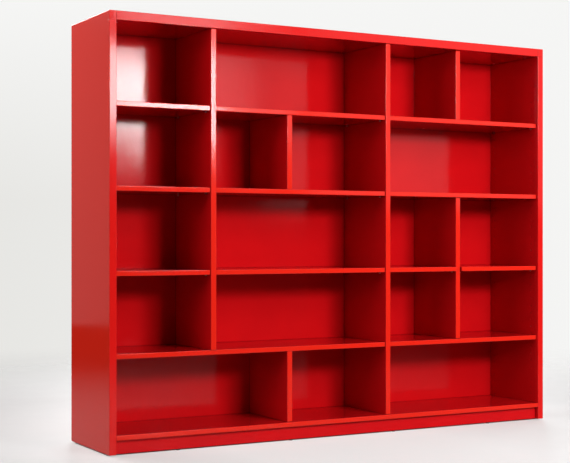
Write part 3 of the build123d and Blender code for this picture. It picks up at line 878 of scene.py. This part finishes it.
class CABINET_OT_screws(Operator):
    """Zinc plate the screws"""

    bl_idname = "cabinet.screws"
    bl_label = "Screws"

    def execute(self, context):
        finish(SCREWS, metal("Bright zinc plate", context.scene.cabinet_fittings.zinc, 0.3))
        return {"FINISHED"}


class CABINET_OT_cam_fittings(Operator):
    """Finish the die-cast cam locks and their plated bolts"""

    bl_idname = "cabinet.cam_fittings"
    bl_label = "Cam Fittings"

    def execute(self, context):
        zinc = context.scene.cabinet_fittings.zinc
        finish(CAM_LOCKS, metal("Die-cast zinc", zinc, 0.42, mark_size=0.0012))
        finish(CAM_BOLTS, metal("Zinc-plated bolts", zinc, 0.3))
        return {"FINISHED"}


class CABINET_OT_dowels(Operator):
    """Leave the dowels as plain beech"""

    bl_idname = "cabinet.dowels"
    bl_label = "Dowels"

    def execute(self, context):
        finish(DOWELS, plain_beech("Plain beech", context.scene.cabinet_fittings.beech))
        return {"FINISHED"}


class CABINET_OT_floor_glides(Operator):
    """Give the floor glides their moulded plastic"""

    bl_idname = "cabinet.floor_glides"
    bl_label = "Floor Glides"

    def execute(self, context):
        finish(GLIDES, moulded_plastic("Black moulded plastic", context.scene.cabinet_fittings.plastic))
        return {"FINISHED"}


# --------------------------------------------------------------------------
# The studio
# --------------------------------------------------------------------------

# The floor's size, and how far from its middle it starts to fade and is gone
FLOOR_RADIUS = 6.0
FLOOR_FULL = 1.6
FLOOR_GONE = 5.0

# How much of the floor's colour takes the lights, and the painted light that glows from the floor to
# the camera only, which rises from left to right between two places on X
FLOOR_SHARE = 0.38
GLOW_LEFT_X = -2.4
GLOW_RIGHT_X = -0.6
GLOW_LEFT = 0.0
GLOW_RIGHT = 0.73

# How far inside the cabinet's sides and front the glow stops
GLOW_SIDE_GAP = 0.004
GLOW_FRONT_GAP = 0.03

# The middle of the painted pool of light on the floor, how far from it the glow starts and stops
# fading, and the share of the glow left beyond that
GLOW_SPOT = (-0.4, -0.6, 0.0)
GLOW_FULL = 0.8
GLOW_FAR = 2.2
GLOW_FAR_SHARE = 0.55

# Where the backdrop turns from its shaded to its bright side, and rises to the bright one,
# as parts of the way that it is looked at, and the share of it that lights the cabinet
BACKDROP_TURN = (0.25, 0.7)
BACKDROP_RISE = (0.03, 0.18)
BACKDROP_LIGHT = 0.03

# A light's radiant power for each square metre of its face at level 1
WATTS_PER_AREA = 4 * math.pi

# Soft lights: place of the middle, the point it faces, width and height, and level
SOFT_LIGHTS = {
    "Key softbox": ((0.2, -4.3, 1.9), (0.2, 0.0, 1.9), 0.4, 0.6, 12.0),
    "Softbox, left third": ((0.525, -4.31, 1.99), (0.525, 0.0, 1.99), 0.35, 0.54, 9.6),
    "Softbox, middle third": ((0.875, -4.31, 2.025), (0.875, 0.0, 2.025), 0.35, 0.61, 13.2),
    "Softbox, right third": ((1.235, -4.31, 1.91), (1.235, 0.0, 1.91), 0.37, 0.74, 13.4),
    "Softbox skirt": ((0.7, -4.31, 1.63), (0.7, 0.0, 1.63), 0.7, 0.18, 2.3),
    "Softbox centre": ((1.015, -4.3, 2.075), (1.015, 0.0, 2.075), 0.63, 0.25, 4.0),
    "Softbox rim": ((1.05, -4.32, 1.94), (1.05, 0.0, 1.94), 0.9, 1.1, 0.7),
    "Softbox wing": ((1.76, -4.34, 2.0), (1.76, 0.0, 2.0), 0.68, 0.86, 0.95),
    "Softbox wing skirt": ((1.7, -4.34, 1.46), (1.7, 0.0, 1.46), 0.56, 0.22, 0.35),
    "Softbox cap": ((1.0, -4.315, 2.49), (1.0, 0.0, 2.49), 0.9, 0.1, 2.0),
    "High softbox": ((1.0, -4.3, 3.05), (1.0, 0.0, 3.05), 1.8, 1.0, 2.7),
    "High far right softbox": ((3.4, -4.3, 3.85), (3.4, 0.0, 3.85), 2.4, 2.3, 0.4),
    "Right front haze": ((3.4, -4.3, 1.9), (3.4, 0.0, 1.9), 2.4, 1.6, 0.39),
    "Right front wall": ((6.2, -4.3, 1.5), (6.2, 0.0, 1.5), 2.0, 2.4, 1.7),
    "Left window": ((-6.0, -1.5, 1.85), (0.0, -1.5, 1.85), 3.0, 1.3, 1.3),
    "High left window": ((-6.0, -1.5, 3.5), (0.0, -1.5, 3.5), 3.0, 2.0, 1.52),
    "Rear left window": ((-2.6, 3.2, 3.5), (-1.08, 0.0, 3.5), 3.4, 2.0, 3.7),
    "Rear left wall": ((-2.6, 3.2, 1.385), (-1.08, 0.0, 1.385), 3.4, 2.23, 0.078),
    "Rear right window": ((2.5, 4.5, 2.2), (0.5, 0.2, 0.9), 4.0, 3.0, 0.9),
    "Right window": ((5.5, 1.8, 2.2), (1.1, 0.3, 0.9), 2.4, 3.0, 1.2),
    "Overhead": ((0.0, 2.5, 4.5), (0.0, 2.5, 0.0), 9.0, 3.0, 0.15),
}


def soft_light(name, middle, faces, width, height, level):
    """A rectangular soft light that shows in reflections and not to the camera."""
    lamp = bpy.data.lights.new(name, "AREA")
    lamp.shape = "RECTANGLE"
    lamp.size = width
    lamp.size_y = height
    lamp.energy = level * WATTS_PER_AREA * width * height
    made = bpy.data.objects.new(name, lamp)
    made.location = middle
    made.rotation_euler = (Vector(faces) - Vector(middle)).to_track_quat("-Z", "Y").to_euler()
    made.visible_camera = False
    bpy.context.scene.collection.objects.link(made)


def floor_material(colour):
    """Pale matt floor whose far rim fades into the backdrop, with a painted pool of light that only the
    camera sees.
    """
    material, tree, shader = blank_material("Pale studio floor")
    where = place(tree, "ShaderNodeTexCoord").outputs["Object"]
    cloud = noise(tree, where, 3.0, 4.0)
    matt = tuple(part * FLOOR_SHARE for part in colour)
    deeper = tuple(part * 0.97 for part in matt)
    tree.links.new(blend(tree, cloud, rgba(matt), rgba(deeper)), shader.inputs["Base Color"])
    tree.links.new(remap(tree, cloud, 0.3, 0.7, 0.5, 0.6), shader.inputs["Roughness"])
    shader.inputs["Emission Color"].default_value = rgba(colour)
    # Painted light: the floor's glow is emission seen by camera rays only. It is brighter to the right
    # and round one spot, and kept off the floor under the cabinet.
    camera_ray = place(tree, "ShaderNodeLightPath").outputs["Is Camera Ray"]
    spot = place(tree, "ShaderNodeSeparateXYZ", {0: where}).outputs
    across = remap(tree, spot["X"], GLOW_LEFT_X, GLOW_RIGHT_X, GLOW_LEFT, GLOW_RIGHT)
    away = place(tree, "ShaderNodeVectorMath", {0: where, 1: GLOW_SPOT}, operation="DISTANCE")
    fading = remap(tree, away.outputs["Value"], GLOW_FULL, GLOW_FAR, 1.0, GLOW_FAR_SHARE)
    glow = maths(tree, "MULTIPLY", across, fading)
    half_width, half_depth = cad_box[1][0], cad_box[1][1]
    aside = maths(tree, "ABSOLUTE", spot["X"])
    ahead = maths(tree, "ABSOLUTE", spot["Y"])
    beside = maths(tree, "GREATER_THAN", aside, half_width - GLOW_SIDE_GAP)
    before = maths(tree, "GREATER_THAN", ahead, half_depth - GLOW_FRONT_GAP)
    clear_of_base = maths(tree, "MAXIMUM", beside, before)
    seen = maths(tree, "MULTIPLY", camera_ray, maths(tree, "MULTIPLY", glow, clear_of_base))
    tree.links.new(seen, shader.inputs["Emission Strength"])
    reach = place(tree, "ShaderNodeVectorMath", {0: where}, operation="LENGTH").outputs["Value"]
    gone = place(
        tree,
        "ShaderNodeMapRange",
        {0: reach, 1: FLOOR_FULL, 2: FLOOR_GONE, 3: 0.0, 4: 1.0},
        interpolation_type="SMOOTHSTEP",
    ).outputs[0]
    from_below = place(tree, "ShaderNodeNewGeometry").outputs["Backfacing"]
    clear = place(tree, "ShaderNodeBsdfTransparent").outputs[0]
    missing = maths(tree, "MAXIMUM", gone, from_below)
    mixed = place(tree, "ShaderNodeMixShader", {0: missing, 1: shader.outputs[0], 2: clear})
    tree.links.new(mixed.outputs[0], tree.nodes["Material Output"].inputs["Surface"])
    return material


def studio_floor(colour):
    """A round floor under the cabinet."""
    mesh = bpy.data.meshes.new("studio_floor")
    shape = bmesh.new()
    bmesh.ops.create_circle(shape, cap_ends=True, radius=FLOOR_RADIUS, segments=96)
    shape.to_mesh(mesh)
    shape.free()
    floor = bpy.data.objects.new("studio_floor", mesh)
    floor.data.materials.append(floor_material(colour))
    bpy.context.scene.collection.objects.link(floor)


def backdrop(left, right):
    """A pale backdrop all round, a little brighter to the right, that hardly lights the cabinet."""
    world = bpy.data.worlds.new("Studio backdrop")
    world.use_nodes = True
    tree = world.node_tree
    tree.nodes.clear()
    way = place(tree, "ShaderNodeTexCoord").outputs["Generated"]
    part = place(tree, "ShaderNodeSeparateXYZ", {0: way}).outputs
    turned = remap(tree, part["X"], *BACKDROP_TURN, 0.0, 1.0)
    risen = remap(tree, part["Z"], *BACKDROP_RISE, 0.0, 1.0)
    level = blend(tree, turned, rgba(left), rgba(right))
    shade = blend(tree, risen, level, rgba(right))
    seen = place(tree, "ShaderNodeBackground", {"Color": shade, "Strength": 1.0}).outputs[0]
    dim = place(tree, "ShaderNodeBackground", {"Color": shade, "Strength": BACKDROP_LIGHT}).outputs[0]
    camera_ray = place(tree, "ShaderNodeLightPath").outputs["Is Camera Ray"]
    mixed = place(tree, "ShaderNodeMixShader", {0: camera_ray, 1: dim, 2: seen})
    result = tree.nodes.new("ShaderNodeOutputWorld")
    tree.links.new(mixed.outputs[0], result.inputs["Surface"])
    bpy.context.scene.world = world


def camera(settings):
    """A level camera to the left of the cabinet's front."""
    made = bpy.data.objects.new("Camera", bpy.data.cameras.new("Camera"))
    made.data.sensor_width = 36.0
    made.data.lens = settings.camera_lens
    made.data.shift_y = settings.camera_rise
    made.location = settings.camera_place
    made.rotation_euler = (math.pi / 2, 0.0, -settings.camera_heading)
    bpy.context.scene.collection.objects.link(made)
    bpy.context.scene.camera = made


class CABINET_OT_studio(Operator):
    """Set up the floor, the backdrop, the soft lights and the camera"""

    bl_idname = "cabinet.studio"
    bl_label = "Studio"

    def execute(self, context):
        settings = context.scene.cabinet_studio
        context.scene.view_settings.view_transform = "Standard"
        camera(settings)
        studio_floor(settings.floor_colour)
        backdrop(settings.backdrop_left, settings.backdrop_right)
        for name, (middle, faces, width, height, level) in SOFT_LIGHTS.items():
            soft_light(name, middle, faces, width, height, level * settings.light_level)
        return {"FINISHED"}


PIECE_OPERATORS = (
    CABINET_OT_sides,
    CABINET_OT_front_frame,
    CABINET_OT_top_and_bottom,
    CABINET_OT_back_panel,
    CABINET_OT_plinth,
    CABINET_OT_rear_rails,
    CABINET_OT_dividers,
    CABINET_OT_shelves,
    CABINET_OT_shelf_pins,
    CABINET_OT_screws,
    CABINET_OT_cam_fittings,
    CABINET_OT_dowels,
    CABINET_OT_floor_glides,
)


class CABINET_PT_sidebar(Panel):
    """Lists the cabinet's finishes and its studio"""

    bl_idname = "CABINET_PT_sidebar"
    bl_label = "Shelving Cabinet"
    bl_space_type = "VIEW_3D"
    bl_region_type = "UI"
    bl_category = "Cabinet"

    def draw(self, context):
        layout = self.layout
        lacquer_box = layout.box()
        for name in LacquerSettings.__annotations__:
            lacquer_box.prop(context.scene.cabinet_lacquer, name)
        fittings_box = layout.box()
        for name in FittingSettings.__annotations__:
            fittings_box.prop(context.scene.cabinet_fittings, name)
        pieces = layout.column(align=True)
        for operator in PIECE_OPERATORS:
            pieces.operator(operator.bl_idname)
        studio_box = layout.box()
        for name in StudioSettings.__annotations__:
            studio_box.prop(context.scene.cabinet_studio, name)
        studio_box.operator(CABINET_OT_studio.bl_idname)


SETTINGS = {
    "cabinet_lacquer": LacquerSettings,
    "cabinet_fittings": FittingSettings,
    "cabinet_studio": StudioSettings,
}
CLASSES = (*SETTINGS.values(), *PIECE_OPERATORS, CABINET_OT_studio, CABINET_PT_sidebar)


def register():
    for cls in CLASSES:
        bpy.utils.register_class(cls)
    for name, group in SETTINGS.items():
        setattr(bpy.types.Scene, name, PointerProperty(type=group))


def unregister():
    for name in SETTINGS:
        delattr(bpy.types.Scene, name)
    for cls in reversed(CLASSES):
        bpy.utils.unregister_class(cls)


def main():
    register()
    bpy.ops.cabinet.studio()
    bpy.ops.cabinet.sides()
    bpy.ops.cabinet.front_frame()
    bpy.ops.cabinet.top_and_bottom()
    bpy.ops.cabinet.back_panel()
    bpy.ops.cabinet.plinth()
    bpy.ops.cabinet.rear_rails()
    bpy.ops.cabinet.dividers()
    bpy.ops.cabinet.shelves()
    bpy.ops.cabinet.shelf_pins()
    bpy.ops.cabinet.screws()
    bpy.ops.cabinet.cam_fittings()
    bpy.ops.cabinet.dowels()
    bpy.ops.cabinet.floor_glides()


if __name__ == "__main__":
    main()
